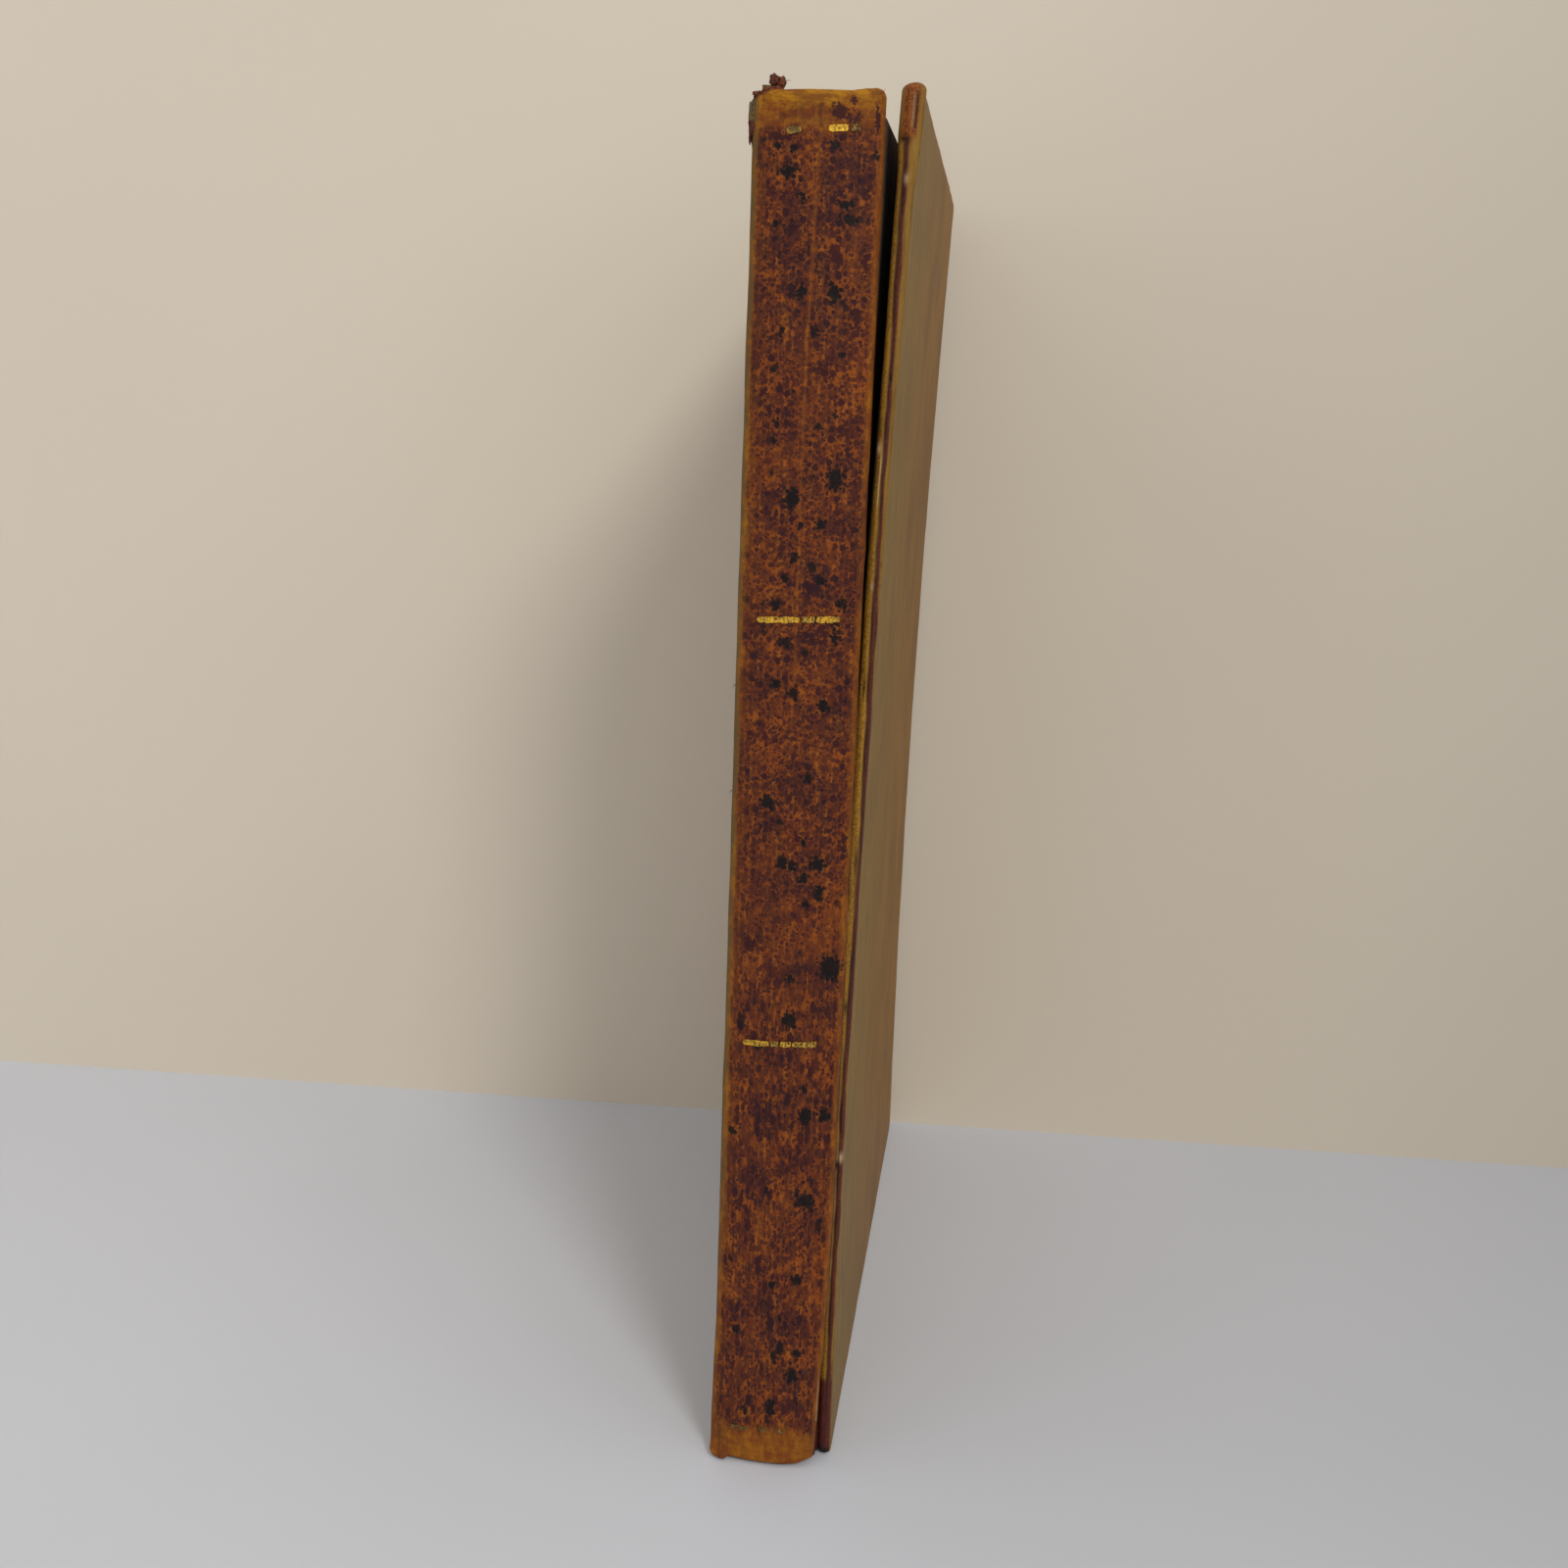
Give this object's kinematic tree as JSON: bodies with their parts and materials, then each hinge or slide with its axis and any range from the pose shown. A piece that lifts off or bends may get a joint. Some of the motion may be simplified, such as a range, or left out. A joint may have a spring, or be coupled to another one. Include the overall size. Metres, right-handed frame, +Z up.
{
  "type": "antique leather book",
  "caption": "Slim old octavo in full calf with a sewn text block, hinged covers, laced cord slips and worn gilt bands across the spine.",
  "frame": {"origin": "on the ground under the middle of the whole book, which stands on its tail", "axes": "+Z up from tail to head, -Y out of the spine, +X out of the front cover"},
  "size_m": [0.0216, 0.1258, 0.2],
  "materials": {
    "calf": "sprinkled and polished, worn",
    "leaves": "cut edges, browned",
    "endpaper": "laid, browned at the turn-ins",
    "pasteboard": "matt, fibrous",
    "lining_paper": "matt",
    "endband_silk": "wound silk, faded",
    "hemp_cord": "twisted, matt",
    "gold_leaf": "worn gilt tooling"
  },
  "bodies": {
    "book_block": {"back_flyleaf": "endpaper", "front_flyleaf": "endpaper", "gilt_band_1": "gold_leaf", "gilt_band_2": "gold_leaf", "gilt_band_3": "gold_leaf", "gilt_band_4": "gold_leaf", "head_endband": "endband_silk", "head_endband_core": "hemp_cord", "kettle_stitch_head": "hemp_cord", "kettle_stitch_tail": "hemp_cord", "sewing_cord_1": "hemp_cord", "sewing_cord_2": "hemp_cord", "sewing_cord_3": "hemp_cord", "sewing_cord_4": "hemp_cord", "spine_leather": "calf", "spine_lining": "lining_paper", "tail_endband": "endband_silk", "tail_endband_core": "hemp_cord", "text_block": "leaves"},
    "front_cover": {"front_board": "pasteboard", "front_leather": "calf", "front_pastedown": "endpaper", "front_slip_1": "hemp_cord", "front_slip_2": "hemp_cord", "front_slip_3": "hemp_cord", "front_slip_4": "hemp_cord"},
    "back_cover": {"back_board": "pasteboard", "back_leather": "calf", "back_pastedown": "endpaper", "back_slip_1": "hemp_cord", "back_slip_2": "hemp_cord", "back_slip_3": "hemp_cord", "back_slip_4": "hemp_cord"}
  },
  "joints": [
    {"name": "front_cover_hinge", "type": "hinge", "parent": "book_block", "child": "front_cover", "pos_m": [0.0076, -0.0594, 0.1], "axis": [0, 0, -1], "range_deg": [0, 110]},
    {"name": "back_cover_hinge", "type": "hinge", "parent": "book_block", "child": "back_cover", "pos_m": [-0.0112, -0.0591, 0.1], "axis": [0, 0, 1], "range_deg": [0, 170]}
  ]
}
